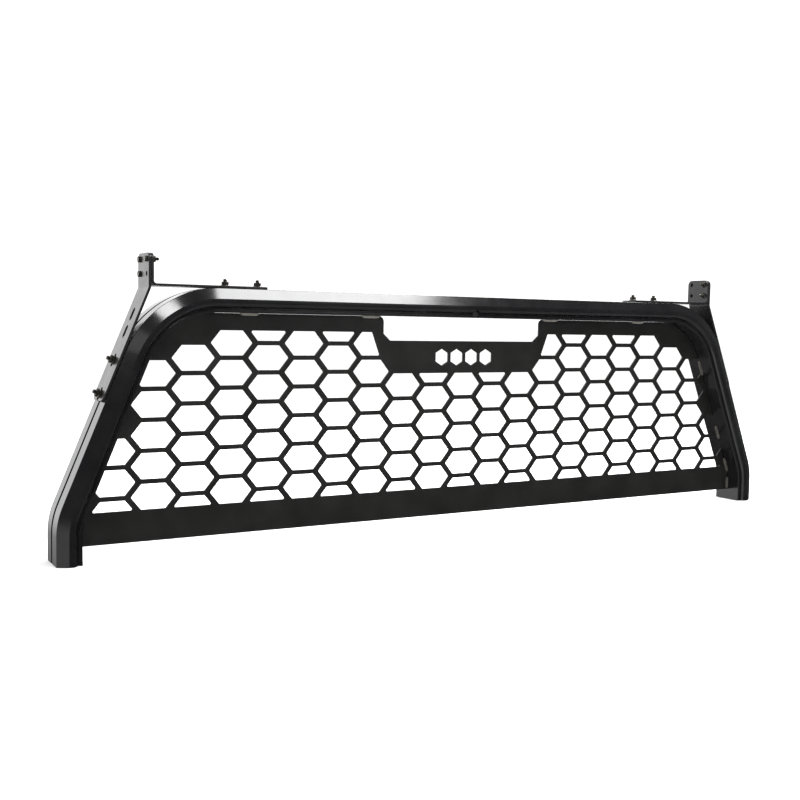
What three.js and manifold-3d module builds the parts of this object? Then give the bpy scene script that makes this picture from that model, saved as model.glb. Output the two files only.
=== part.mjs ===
// Headache rack for a pickup bed: one bent extrusion with a welded honeycomb screen, and a
// two-piece load stop at each upper corner, held by T-bolts in the extrusion's outer slot.
// Millimetres. X runs across the truck, -Y faces the viewer of the screen's front, +Z is up.
// The origin is midway between the two feet, on the plane that the feet stand on.

import * as THREE from "three";
import { mergeVertices } from "three/addons/utils/BufferGeometryUtils.js";
import Module from "manifold-3d";

// ---- driving dimensions ----------------------------------------------------------------

const GAP = 0.3; // clearance kept between touching pieces
const FOOT_X = 870; // outer face of each upright foot, from the centre
const RAIL_TOP = 495; // outer face of the top rail
const LEAN = THREE.MathUtils.degToRad(22.4); // inward lean of the legs from vertical
const FOOT_BEND = { z: 80, radius: 140, steps: 4 };
const CORNER_BEND = { radius: 190, steps: 9 };
const RAIL_SPAN = 450; // half of the rail's free middle, between the load stops

const SECTION = {
  width: 45, // in the plane of the rack
  back: 41, // back face, behind the mid plane
  front: 41, // front face, before the mid plane
  wall: 3,
  chamferWidth: 20,
  chamferDepth: 11,
  faceEnd: 25, // the flat front face ends here and rolls over towards the screen
  roll: 10, // radius of that rolled edge, and how far back the flat lip behind it lies
  beadStart: 40, // the lip ends in a low bead along the inner face
  bead: 2,
  beadSlope: 0.8, // width of the bead's two sloping sides
  backBreak: 1, // bevel of the two back corners
};
const SLOT = { y: 6.5, mouth: 9, channel: 18, lip: 3, depth: 11 };

const SCREEN = { thickness: 4, y: 7.5, bottom: 25, top: 449.7 };
const COLUMNS = 10; // on each side of the middle one
const CELL = { pitchX: 76.2, pitchZ: 57, halfWidth: 42.5, halfFlat: 23, halfHeight: 24, z0: 193.6 };
const WINDOW = { bottom: 84.5, top: 416.8 };
const NOTCH = {
  halfTop: 201,
  halfBottom: 185,
  bottom: 400,
  bevelTop: 414,
  shoulder: [[0, 10], [2, 4], [8, 0]], // rounded upper corner, in (out, down) from the square one
};
const PANEL = { bottom: 331.5, halfTop: 227, halfBottom: 209, slopeFoot: 369 };
const MARKS = { count: 4, pitch: 38, radius: 18, z: 365.5 };

const STRIP = { width: 65, y: 6, thickness: 4.8, endRadius: 14, bendRadius: 6 };
const TAB = { bendZ: 492, top: 555, cornerRadius: 12, holeRows: [517.5, 544], holeOffset: 20 };
const SIDE_STRIP = { length: 222, emptySlots: [54, 88], boltSlots: [144, 209] };
const TOP_BRACKET = { end: 470, bolts: [482, 548], bendRadius: 5.5 };
const OBLONG = { length: 25, width: 12 };
const HOLE_RADIUS = 4.5;

const BOLT = { radius: 4, stick: 5.2 };
const NUT = { acrossFlats: 13, height: 8, flangeRadius: 8.7, flangeHeight: 1.8, bore: 4.4 };
const T_HEAD = { size: 15, height: 5 };
const TAB_BOLT = { radius: 3, stick: 6.3, acrossFlats: 10, headHeight: 4.3, washerRadius: 5.6 };
const TAB_NUT = { acrossFlats: 10, height: 6, flangeRadius: 6.6, flangeHeight: 1.3, bore: 3.3 };
const GROMMET = { x: 1, out: 36, hole: 7.5, radius: 7.1, back: -25, length: 8 };

// ---- materials -------------------------------------------------------------------------

const gloss = () => new THREE.MeshStandardMaterial({ color: 0x17181a, roughness: 0.32, metalness: 0.2 });
const satin = () => new THREE.MeshStandardMaterial({ color: 0x1c1d1f, roughness: 0.55, metalness: 0.1 });
const textured = () => new THREE.MeshStandardMaterial({ color: 0x242527, roughness: 0.65, metalness: 0.1 });
const zinc = () => new THREE.MeshStandardMaterial({ color: 0x2a2a28, roughness: 0.4, metalness: 0.8 });
const rubber = () => new THREE.MeshStandardMaterial({ color: 0x0e0e0e, roughness: 0.85, metalness: 0 });

// ---- joining and cutting ---------------------------------------------------------------

const wasm = await Module();
wasm.setup();

// A three.js geometry as a closed solid, its shared corners merged.
function solid(geometry) {
  const bare = geometry.index ? geometry.toNonIndexed() : geometry.clone();
  bare.deleteAttribute("normal");
  bare.deleteAttribute("uv");
  const merged = mergeVertices(bare, 1e-4);
  return new wasm.Manifold(
    new wasm.Mesh({
      numProp: 3,
      vertProperties: merged.attributes.position.array,
      triVerts: new Uint32Array(merged.index.array),
    }),
  );
}

// A closed solid as a three.js geometry.
function geometryOf(body) {
  const made = body.getMesh();
  const geometry = new THREE.BufferGeometry();
  geometry.setAttribute("position", new THREE.BufferAttribute(new Float32Array(made.vertProperties), 3));
  geometry.setIndex(new THREE.BufferAttribute(new Uint32Array(made.triVerts), 1));
  return geometry;
}

// ---- small shapes ----------------------------------------------------------------------

const vec = (x, y, z) => new THREE.Vector3(x, y, z);

// A flat outline in X and Z, thickened along Y between two values.
function slabXZ(points, yLow, yHigh) {
  const shape = new THREE.Shape(points.map(([x, z]) => new THREE.Vector2(x, z)));
  const geometry = new THREE.ExtrudeGeometry(shape, { depth: yHigh - yLow, bevelEnabled: false });
  geometry.rotateX(Math.PI / 2);
  geometry.translate(0, yHigh, 0);
  return geometry;
}

// A round rod along Z from z = low to z = high.
function rod(radius, low, high, sides = 16) {
  const geometry = new THREE.CylinderGeometry(radius, radius, high - low, sides);
  geometry.rotateX(Math.PI / 2);
  geometry.translate(0, 0, (low + high) / 2);
  return geometry;
}

// A hexagonal prism along Z.
function hexRod(acrossFlats, low, high) {
  return rod(acrossFlats / Math.sqrt(3), low, high, 6);
}

// An oblong prism along Z, its long way along X.
function oblongRod(length, width, low, high) {
  const half = (length - width) / 2;
  const shape = new THREE.Shape();
  shape.absarc(half, 0, width / 2, -Math.PI / 2, Math.PI / 2, false);
  shape.absarc(-half, 0, width / 2, Math.PI / 2, (3 * Math.PI) / 2, false);
  const geometry = new THREE.ExtrudeGeometry(shape, { depth: high - low, bevelEnabled: false, curveSegments: 6 });
  geometry.translate(0, 0, low);
  return geometry;
}

// ---- the frame's path and section ------------------------------------------------------

// Points and directions along the outer face, left foot to right foot.
function archStations() {
  const tanLean = Math.tan(LEAN);
  const cornerX = FOOT_X - tanLean * (RAIL_TOP - FOOT_BEND.z);
  const footReach = FOOT_BEND.radius * Math.tan(LEAN / 2);
  const cornerReach = CORNER_BEND.radius * Math.tan((Math.PI / 2 - LEAN) / 2);
  const footCentre = { x: -FOOT_X + FOOT_BEND.radius, z: FOOT_BEND.z - footReach };
  const cornerCentre = { x: -cornerX + cornerReach, z: RAIL_TOP - CORNER_BEND.radius };
  const left = [{ point: vec(-FOOT_X, 0, 0), heading: 0 }];
  const addArc = (centre, radius, from, to, steps) => {
    for (let i = 0; i <= steps; i += 1) {
      const turn = from + ((to - from) * i) / steps;
      const point = vec(centre.x - radius * Math.cos(turn), 0, centre.z + radius * Math.sin(turn));
      left.push({ point, heading: turn });
    }
  };
  addArc(footCentre, FOOT_BEND.radius, 0, LEAN, FOOT_BEND.steps);
  addArc(cornerCentre, CORNER_BEND.radius, LEAN, Math.PI / 2, CORNER_BEND.steps);
  left.push({ point: vec(-RAIL_SPAN, 0, RAIL_TOP), heading: Math.PI / 2 });
  const right = left.map(({ point, heading }) => ({
    point: vec(-point.x, 0, point.z),
    heading: Math.PI - heading,
  }));
  return [...left, ...right.reverse()];
}

// A curve through the stations, one station to each step. A heading of 0 points up.
class ArchPath extends THREE.Curve {
  constructor(stations) {
    super();
    this.stations = stations;
  }
  at(u) {
    return this.stations[Math.round(u * (this.stations.length - 1))];
  }
  getPointAt(u, target = new THREE.Vector3()) {
    return target.copy(this.at(u).point);
  }
  getTangentAt(u, target = new THREE.Vector3()) {
    const { heading } = this.at(u);
    return target.set(Math.sin(heading), 0, Math.cos(heading));
  }
}

// A section corner, given as out from the outer face and towards the front. The sweep takes a
// shape's x as towards the front and its y as in from the outer face.
const sectionPoint = ([out, front]) => new THREE.Vector2(front, -out);

// The extrusion's section, in corners of (out from the outer face, towards the front).
function sectionShape() {
  const s = SECTION;
  const mid = -SLOT.y;
  const outline = [
    [0, -s.back + s.backBreak],
    [0, mid - SLOT.mouth / 2],
    [-SLOT.lip, mid - SLOT.mouth / 2],
    [-SLOT.lip, mid - SLOT.channel / 2],
    [-SLOT.depth, mid - SLOT.channel / 2],
    [-SLOT.depth, mid + SLOT.channel / 2],
    [-SLOT.lip, mid + SLOT.channel / 2],
    [-SLOT.lip, mid + SLOT.mouth / 2],
    [0, mid + SLOT.mouth / 2],
    [0, s.front - s.chamferDepth],
    [-s.chamferWidth, s.front],
  ];
  const rollSteps = 4;
  for (let i = 0; i <= rollSteps; i += 1) {
    const turn = (Math.PI / 2) * (i / rollSteps);
    outline.push([-s.faceEnd - s.roll * Math.sin(turn), s.front - s.roll * (1 - Math.cos(turn))]);
  }
  const lip = s.front - s.roll;
  outline.push(
    [-s.beadStart, lip],
    [-s.beadStart - s.beadSlope, lip + s.bead],
    [-s.width + s.beadSlope, lip + s.bead],
    [-s.width, lip + s.bead - s.beadSlope],
    [-s.width, -s.back + s.backBreak],
    [-s.width + s.backBreak, -s.back],
    [-s.backBreak, -s.back],
  );
  const shape = new THREE.Shape(outline.map(sectionPoint));
  const inner = s.width - s.wall;
  const behind = SLOT.depth + s.wall;
  const cavity = [
    [-inner, -s.back + s.wall],
    [-s.wall, -s.back + s.wall],
    [-s.wall, mid - SLOT.channel / 2 - s.wall],
    [-behind, mid - SLOT.channel / 2 - s.wall],
    [-behind, mid + SLOT.channel / 2 + s.wall],
    [-s.wall, mid + SLOT.channel / 2 + s.wall],
    [-s.wall, s.front - s.chamferDepth - s.wall / 2],
    [-s.chamferWidth - s.wall / 4, s.front - s.wall],
    [-s.faceEnd, s.front - s.wall],
    [-s.faceEnd - s.roll / 2, s.front - s.roll / 2],
    [-s.faceEnd - s.roll + s.wall, lip - s.wall],
    [-inner, lip - s.wall],
  ];
  shape.holes.push(new THREE.Path(cavity.map(sectionPoint)));
  return shape;
}

// Turns a geometry made along Z to face the front, at the grommet's place in the rail's lip.
function atGrommet(geometry) {
  geometry.rotateX(Math.PI / 2);
  geometry.translate(GROMMET.x, GROMMET.back, RAIL_TOP - GROMMET.out);
  return geometry;
}

// The bent extrusion, open at both feet, with the grommet's hole in the rail's middle.
function frameGeometry() {
  const stations = archStations();
  const bent = new THREE.ExtrudeGeometry(sectionShape(), {
    extrudePath: new ArchPath(stations),
    steps: stations.length - 1,
    bevelEnabled: false,
  });
  const drill = atGrommet(rod(GROMMET.hole, -1, SECTION.front, 20));
  return geometryOf(solid(bent).subtract(solid(drill)));
}

// ---- the screen ------------------------------------------------------------------------

// Corners along the frame's inner face, left to right, with the gap taken off.
function innerLine() {
  const inset = SECTION.width + GAP;
  return archStations()
    .slice(1, -1)
    .map(({ point, heading }) => [
      point.x + inset * Math.cos(heading),
      point.z - inset * Math.sin(heading),
    ]);
}

// The six corners of a cell.
function cellCorners(x, z) {
  const { halfWidth: w, halfFlat: f, halfHeight: h } = CELL;
  return [
    [x - w, z],
    [x - f, z - h],
    [x + f, z - h],
    [x + w, z],
    [x + f, z + h],
    [x - f, z + h],
  ];
}

// Keeps the part of a polygon where a*x + b*z <= c.
function clip(points, a, b, c) {
  const kept = [];
  points.forEach((p, i) => {
    const q = points[(i + 1) % points.length];
    const dp = a * p[0] + b * p[1] - c;
    const dq = a * q[0] + b * q[1] - c;
    if (dp <= 0) kept.push(p);
    if (dp * dq < 0) {
      const t = dp / (dp - dq);
      kept.push([p[0] + t * (q[0] - p[0]), p[1] + t * (q[1] - p[1])]);
    }
  });
  return kept;
}

// Cells are numbered by column from the centre, and by half rows counted down from z0.
// A column's first and last cell follow the legs' lean and the centre panel.
function cellRows(column) {
  const side = Math.abs(column);
  if (side === COLUMNS) return [0, 2, 4];
  if (side === COLUMNS - 1) return [-5, -3, -1, 1, 3];
  if (side === COLUMNS - 2) return [-6, -4, -2, 0, 2, 4];
  if (side <= 2) return side === 1 ? [-5, -3, -1, 1, 3] : [-4, -2, 0, 2, 4];
  return side % 2 === 1 ? [-7, -5, -3, -1, 1, 3] : [-8, -6, -4, -2, 0, 2, 4];
}

// One cell's opening, cut off by the window's edges and by the centre panel.
function cellOpening(column, row) {
  const side = Math.abs(column);
  let points = cellCorners(side * CELL.pitchX, CELL.z0 - (row * CELL.pitchZ) / 2);
  points = clip(points, 0, 1, WINDOW.top);
  points = clip(points, 0, -1, -WINDOW.bottom);
  if (side <= 2) points = clip(points, 0, 1, PANEL.bottom);
  if (side === 3 && row === -7) {
    const run = PANEL.halfTop - PANEL.halfBottom;
    const rise = WINDOW.top - PANEL.slopeFoot;
    points = clip(points, -rise, run, run * WINDOW.top - rise * PANEL.halfTop);
  }
  return column < 0 ? points.map(([x, z]) => [-x, z]).reverse() : points;
}

// The screen's outline: bottom edge, legs, rail, and the notch for the cab's brake light.
function screenOutline() {
  const n = NOTCH;
  const line = innerLine().filter(([, z]) => z > SCREEN.bottom + 1);
  const left = line.filter(([x]) => x < 0);
  const shoulder = n.shoulder.map(([out, down]) => [n.halfTop + out, SCREEN.top - down]);
  const rightOfNotch = [[n.halfBottom, n.bottom], [n.halfTop, n.bevelTop], ...shoulder];
  const leftHalf = [
    [left[0][0], SCREEN.bottom],
    ...left,
    ...rightOfNotch.map(([x, z]) => [-x, z]).reverse(),
  ];
  return [...leftHalf, ...leftHalf.map(([x, z]) => [-x, z]).reverse()].reverse();
}

function screenGeometry() {
  const back = SCREEN.y + SCREEN.thickness / 2;
  const front = SCREEN.y - SCREEN.thickness / 2;
  let plate = solid(slabXZ(screenOutline(), front, back));
  for (let column = -COLUMNS; column <= COLUMNS; column += 1) {
    for (const row of cellRows(column)) {
      plate = plate.subtract(solid(slabXZ(cellOpening(column, row), front - 1, back + 1)));
    }
  }
  for (let i = 0; i < MARKS.count; i += 1) {
    const mark = rod(MARKS.radius, -SCREEN.thickness, SCREEN.thickness, 6);
    mark.rotateX(Math.PI / 2);
    mark.translate((i - (MARKS.count - 1) / 2) * MARKS.pitch, SCREEN.y, MARKS.z);
    plate = plate.subtract(solid(mark));
  }
  return geometryOf(plate);
}

// ---- load stops ------------------------------------------------------------------------

// A bent strip seen along Y: two straight runs joined by an arc about a centre. Each face of
// the strip is given by its two far ends and its radius.
function bentProfile(first, second, centre, firstRadius, secondRadius, fromTurn, toTurn) {
  const steps = 4;
  const arc = (radius) =>
    Array.from({ length: steps + 1 }, (_, i) => {
      const turn = fromTurn + ((toTurn - fromTurn) * i) / steps;
      return [centre[0] + radius * Math.cos(turn), centre[1] + radius * Math.sin(turn)];
    });
  return [first[0], ...arc(firstRadius), first[1], second[1], ...arc(secondRadius).reverse(), second[0]];
}

// A plate as wide as the strip, with its two far corners rounded, to trim a strip's end to.
function roundedEnd(reach, low, high, radius) {
  const half = STRIP.width / 2;
  const shape = new THREE.Shape();
  shape.moveTo(-half, -1);
  shape.lineTo(half, -1);
  shape.lineTo(half, reach - radius);
  shape.absarc(half - radius, reach - radius, radius, 0, Math.PI / 2, false);
  shape.absarc(radius - half, reach - radius, radius, Math.PI / 2, Math.PI, false);
  const geometry = new THREE.ExtrudeGeometry(shape, { depth: high - low, bevelEnabled: false, curveSegments: 5 });
  geometry.translate(0, 0, low);
  return geometry;
}

// Right-hand places that the load stop's pieces share.
const legFaceX = (z) => FOOT_X - Math.tan(LEAN) * (z - FOOT_BEND.z);
const tabInnerX = legFaceX(TAB.bendZ) + GAP / Math.cos(LEAN);
const tabOuterX = tabInnerX + STRIP.thickness;
const bracketInnerX = tabInnerX - GAP - STRIP.thickness;

// A frame on the leg's outer face, a distance down from the bend. Its Z points out of the
// face and its X down the leg.
function onLeg(down, y) {
  const along = vec(Math.sin(LEAN), 0, -Math.cos(LEAN));
  const out = vec(Math.cos(LEAN), 0, Math.sin(LEAN));
  const place = new THREE.Matrix4().makeBasis(along, out.clone().cross(along), out);
  return place.setPosition(vec(legFaceX(TAB.bendZ), y, TAB.bendZ).addScaledVector(along, down));
}

// A frame whose Z leaves the rail's outer face, at a distance from the centre.
function onRail(x, y) {
  return new THREE.Matrix4().setPosition(x, y, RAIL_TOP);
}

// A frame whose Z points outward through the tabs, from the strip's outer face.
function onTab(y, z) {
  const place = new THREE.Matrix4().makeRotationY(Math.PI / 2);
  return place.setPosition(tabOuterX, y, z);
}

function holeColumns() {
  return [STRIP.y + TAB.holeOffset, STRIP.y - TAB.holeOffset];
}

// Cuts the four bolt holes through a tab.
function cutTabHoles(body) {
  let cut = body;
  for (const y of holeColumns()) {
    for (const z of TAB.holeRows) {
      cut = cut.subtract(solid(rod(HOLE_RADIUS, -20, 10, 14).applyMatrix4(onTab(y, z))));
    }
  }
  return cut;
}

// The side strip of the right-hand load stop: down the leg, and up into the outer tab.
function sideStripGeometry() {
  const t = STRIP.thickness;
  const r = STRIP.bendRadius;
  const half = STRIP.width / 2;
  const legEnd = (off) => {
    const end = vec(0, 0, off).applyMatrix4(onLeg(SIDE_STRIP.length, 0));
    return [end.x, end.z];
  };
  const centre = [tabOuterX + r, TAB.bendZ + (r + t) * Math.tan(LEAN / 2)];
  const profile = bentProfile(
    [[tabInnerX, TAB.top], legEnd(GAP)],
    [[tabOuterX, TAB.top], legEnd(GAP + t)],
    centre,
    r + t,
    r,
    Math.PI,
    Math.PI + LEAN,
  );
  let strip = solid(slabXZ(profile.reverse(), STRIP.y - half, STRIP.y + half));
  strip = strip.intersect(solid(stripMask()));
  strip = cutTabHoles(strip);
  for (const distance of [...SIDE_STRIP.emptySlots, ...SIDE_STRIP.boltSlots]) {
    const slot = oblongRod(OBLONG.length, OBLONG.width, -5, 15).applyMatrix4(onLeg(distance, SLOT.y));
    strip = strip.subtract(solid(slot));
  }
  return geometryOf(strip);
}

// A plate seen from the side of the rack, with both ends rounded, that trims the side strip.
function stripMask() {
  const low = TAB.bendZ - Math.cos(LEAN) * SIDE_STRIP.length;
  const half = STRIP.width / 2;
  const r = STRIP.endRadius;
  const top = TAB.top;
  const c = TAB.cornerRadius;
  const shape = new THREE.Shape();
  shape.absarc(STRIP.y + half - r, low + r, r, -Math.PI / 2, 0, false);
  shape.absarc(STRIP.y + half - c, top - c, c, 0, Math.PI / 2, false);
  shape.absarc(STRIP.y - half + c, top - c, c, Math.PI / 2, Math.PI, false);
  shape.absarc(STRIP.y - half + r, low + r, r, Math.PI, 1.5 * Math.PI, false);
  const geometry = new THREE.ExtrudeGeometry(shape, { depth: FOOT_X, bevelEnabled: false, curveSegments: 5 });
  geometry.applyMatrix4(new THREE.Matrix4().makeBasis(vec(0, 1, 0), vec(0, 0, 1), vec(1, 0, 0)));
  return geometry;
}

// The top bracket of the right-hand load stop: along the rail, and up into the inner tab.
function topBracketGeometry() {
  const t = STRIP.thickness;
  const low = RAIL_TOP + GAP;
  const outer = tabInnerX - GAP;
  const r = TOP_BRACKET.bendRadius;
  const centre = [outer - r - t, low + r + t];
  const profile = bentProfile(
    [[bracketInnerX, TAB.top], [TOP_BRACKET.end, low + t]],
    [[outer, TAB.top], [TOP_BRACKET.end, low]],
    centre,
    r,
    r + t,
    0,
    -Math.PI / 2,
  );
  const half = STRIP.width / 2;
  let bracket = solid(slabXZ(profile, STRIP.y - half, STRIP.y + half));
  const tabMask = roundedEnd(TAB.top - low, -TAB.top, RAIL_TOP, TAB.cornerRadius);
  tabMask.applyMatrix4(new THREE.Matrix4().makeBasis(vec(0, 1, 0), vec(0, 0, 1), vec(1, 0, 0)));
  tabMask.translate(outer, STRIP.y, low);
  const armMask = roundedEnd(outer - TOP_BRACKET.end, -1, TAB.top, STRIP.endRadius);
  armMask.applyMatrix4(new THREE.Matrix4().makeBasis(vec(0, 1, 0), vec(-1, 0, 0), vec(0, 0, 1)));
  armMask.translate(outer, STRIP.y, low);
  bracket = bracket.intersect(solid(tabMask)).intersect(solid(armMask));
  bracket = cutTabHoles(bracket);
  for (const x of TOP_BRACKET.bolts) {
    bracket = bracket.subtract(solid(rod(HOLE_RADIUS, -5, 15, 14).applyMatrix4(onRail(x, SLOT.y))));
  }
  return geometryOf(bracket);
}

// ---- fasteners -------------------------------------------------------------------------

// A T-bolt along Z: its head is under the slot's lips, and z = 0 is the extrusion's face.
function tBoltGeometry() {
  const headTop = -SLOT.lip - GAP;
  const tip = GAP + STRIP.thickness + GAP + NUT.height + BOLT.stick;
  const head = new THREE.BoxGeometry(T_HEAD.size, T_HEAD.size, T_HEAD.height);
  head.translate(0, 0, headTop - T_HEAD.height / 2);
  return geometryOf(solid(head).add(solid(rod(BOLT.radius, headTop - 1, tip))));
}

// A flange nut along Z, standing on z = base.
function nutGeometry(nut, base) {
  const flange = rod(nut.flangeRadius, base, base + nut.flangeHeight, 20);
  const body = hexRod(nut.acrossFlats, base + nut.flangeHeight / 2, base + nut.height);
  const bore = rod(nut.bore, base - 1, base + nut.height + 1);
  return geometryOf(solid(flange).add(solid(body)).subtract(solid(bore)));
}

// A hex bolt through both tabs. z = 0 is the strip's outer face; the shank runs down.
function tabBoltGeometry() {
  const grip = 2 * STRIP.thickness + GAP;
  const tip = -grip - GAP - TAB_NUT.height - TAB_BOLT.stick;
  const washerFace = rod(TAB_BOLT.washerRadius, GAP, GAP + 1, 20);
  const head = hexRod(TAB_BOLT.acrossFlats, GAP + 0.5, GAP + TAB_BOLT.headHeight);
  const shank = rod(TAB_BOLT.radius, tip, GAP + 1);
  return geometryOf(solid(head).add(solid(washerFace)).add(solid(shank)));
}

// The nut on a tab bolt, behind the inner tab.
function tabNutGeometry() {
  const nut = nutGeometry(TAB_NUT, 2 * STRIP.thickness + 2 * GAP);
  nut.rotateX(Math.PI);
  return nut;
}

// The rubber grommet, a domed plug with a dimple in its face.
function grommetGeometry() {
  const { radius: r, length } = GROMMET;
  const profile = [
    [0, 0],
    [r - 1, 0],
    [r, 1],
    [r, length - 1.2],
    [r - 0.8, length - 0.3],
    [3, length],
    [2.4, length - 0.8],
    [0, length - 0.8],
  ];
  const lathe = new THREE.LatheGeometry(profile.map(([x, y]) => new THREE.Vector2(x, y)), 20);
  return atGrommet(lathe.rotateX(Math.PI / 2));
}

// ---- assembly --------------------------------------------------------------------------

const rack = new THREE.Group();

function addPiece(name, geometry, material) {
  const piece = new THREE.Mesh(geometry, material);
  piece.name = name;
  rack.add(piece);
  return piece;
}

// Turns a right-hand geometry into the left-hand one.
function mirrored(geometry) {
  const flipped = geometry.clone();
  const flat = flipped.index ? flipped.toNonIndexed() : flipped;
  const place = flat.attributes.position;
  for (let i = 0; i < place.count; i += 3) {
    const a = vec().fromBufferAttribute(place, i);
    const b = vec().fromBufferAttribute(place, i + 1);
    const c = vec().fromBufferAttribute(place, i + 2);
    [a, c, b].forEach((p, k) => place.setXYZ(i + k, -p.x, p.y, p.z));
  }
  return flat;
}

// Adds a piece for one side, from its right-hand shape.
function addSided(side, name, geometry, material) {
  addPiece(`${name}_${side}`, side === "left" ? mirrored(geometry) : geometry, material);
}

addPiece("frame_extrusion", frameGeometry(), gloss());
addPiece("honeycomb_screen", screenGeometry(), satin());

addPiece("wire_hole_grommet", grommetGeometry(), rubber());

// The tab bolts that are fitted: the left load stop has three, the right one two.
const tabBolts = {
  left: ["upper_front", "upper_back", "lower_back"],
  right: ["upper_front", "lower_front"],
};
const tabPlaces = {
  upper_front: onTab(STRIP.y - TAB.holeOffset, TAB.holeRows[1]),
  upper_back: onTab(STRIP.y + TAB.holeOffset, TAB.holeRows[1]),
  lower_front: onTab(STRIP.y - TAB.holeOffset, TAB.holeRows[0]),
  lower_back: onTab(STRIP.y + TAB.holeOffset, TAB.holeRows[0]),
};
const slotPlaces = {
  rail_inner: onRail(TOP_BRACKET.bolts[0], SLOT.y),
  rail_outer: onRail(TOP_BRACKET.bolts[1], SLOT.y),
  leg_upper: onLeg(SIDE_STRIP.boltSlots[0], SLOT.y),
  leg_lower: onLeg(SIDE_STRIP.boltSlots[1], SLOT.y),
};

for (const side of ["left", "right"]) {
  addSided(side, "side_strip", sideStripGeometry(), textured());
  addSided(side, "top_bracket", topBracketGeometry(), textured());
  for (const [where, place] of Object.entries(slotPlaces)) {
    addSided(side, `t_bolt_${where}`, tBoltGeometry().applyMatrix4(place), zinc());
    const nut = nutGeometry(NUT, GAP + STRIP.thickness + GAP).applyMatrix4(place);
    addSided(side, `flange_nut_${where}`, nut, zinc());
  }
  for (const where of tabBolts[side]) {
    addSided(side, `tab_bolt_${where}`, tabBoltGeometry().applyMatrix4(tabPlaces[where]), zinc());
    addSided(side, `tab_nut_${where}`, tabNutGeometry().applyMatrix4(tabPlaces[where]), zinc());
  }
}

export default rack;
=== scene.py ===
"""A headache rack for a pickup bed: the visual model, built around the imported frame.

Lengths are in millimetres, in the frame's own axes, and become metres as a piece is placed.
"""

import math

import bmesh
import bpy
from mathutils import Matrix, Vector
from mathutils.geometry import intersect_line_line_2d, tessellate_polygon


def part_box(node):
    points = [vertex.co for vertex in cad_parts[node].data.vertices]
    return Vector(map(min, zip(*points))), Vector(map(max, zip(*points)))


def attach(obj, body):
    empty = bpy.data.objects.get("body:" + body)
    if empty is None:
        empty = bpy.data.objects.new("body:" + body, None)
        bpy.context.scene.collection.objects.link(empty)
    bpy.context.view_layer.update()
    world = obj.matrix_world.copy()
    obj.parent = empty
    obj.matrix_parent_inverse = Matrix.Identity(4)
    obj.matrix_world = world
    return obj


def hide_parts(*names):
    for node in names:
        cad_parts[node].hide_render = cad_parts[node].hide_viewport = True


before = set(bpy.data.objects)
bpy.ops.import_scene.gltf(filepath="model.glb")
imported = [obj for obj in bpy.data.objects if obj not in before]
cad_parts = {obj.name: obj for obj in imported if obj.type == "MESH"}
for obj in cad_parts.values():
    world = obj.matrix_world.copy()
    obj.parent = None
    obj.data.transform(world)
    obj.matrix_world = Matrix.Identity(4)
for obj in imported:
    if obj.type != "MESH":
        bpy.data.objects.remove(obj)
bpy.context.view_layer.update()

# ---- driving dimensions, from the frame or as the frame has them -----------------------------

MM = 0.001
GAP = 0.3  # clearance between touching pieces
RACK = "rack"
_, extrusion_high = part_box("frame_extrusion")
FOOT_X = extrusion_high.x / MM
HALF_DEPTH = extrusion_high.y / MM
RAIL_TOP = extrusion_high.z / MM
LEAN = math.radians(22.4)
FOOT_BEND_Z = 80
FOOT_BEND_RADIUS = 140
CORNER_RADIUS = 190

WIDTH = 45  # of the section, in from its outer face
WALL = 3
SLOT_Y = 6.5
SLOT_MOUTH = 9
SLOT_CHANNEL = 18
SLOT_LIP = 3
SLOT_DEPTH = 11
CHAMFER_WIDTH = 20
CHAMFER_DEPTH = 11
ROLL = 10
ROLL_START = 25
BEAD_START = 38.6
BEAD = 2
RIDGE_START = 35.2
RIDGE = 1.6

PLATE_BEVEL = 0.45
screen_low, screen_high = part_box("honeycomb_screen")
SCREEN_BACK = screen_high.y / MM
SCREEN_FRONT = screen_low.y / MM
SCREEN_BOTTOM = screen_low.z / MM
COLUMNS = 10  # either side of the middle one
PITCH_X = 76.2
PITCH_Z = 57
CELL_Z0 = 193.6
CELL = {"half_width": 42.5, "half_flat": 23, "half_height": 24, "radius": 2.5}
WINDOW_TOP = 416.8
WINDOW_BOTTOM = 84.5
PANEL_BOTTOM = 331.5
PANEL_HALF = 227
PANEL_SLOPE = (18, 47.8)
NOTCH = [(209, 449.7), (203, 445.7), (201, 439.7), (201, 414), (185, 400)]
MARKS = {"count": 4, "pitch": 38, "radius": 18, "corner": 1.5, "z": 365.5}

STRIP_Y = 6
STRIP_WIDTH = 65
STRIP_THICK = 4.8
TAB_BEND_Z = 492
TAB_TOP = 555
TAB_ROWS = (517.5, 544)
TAB_HOLE_OFFSET = 20
TAB_CORNER = 12
END_RADIUS = 14
SIDE_LENGTH = 222
SIDE_BEND_RADIUS = 6
SIDE_EMPTY = (54, 88)
SIDE_BOLTS = (144, 209)
ARM_END = 470
ARM_BOLTS = (482, 548)
ARM_BEND_RADIUS = 5.5
HOLE_RADIUS = 4.5
OBLONG = (25, 12)
STRIP_BEVEL = 0.5

# ---- small geometry --------------------------------------------------------------------------


def arc(centre, radius, start, end, steps):
    """Points on an arc, ends included, with the turns in radians."""
    turns = [start + (end - start) * i / steps for i in range(steps + 1)]
    return [
        (centre[0] + radius * math.cos(t), centre[1] + radius * math.sin(t)) for t in turns
    ]


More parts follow.
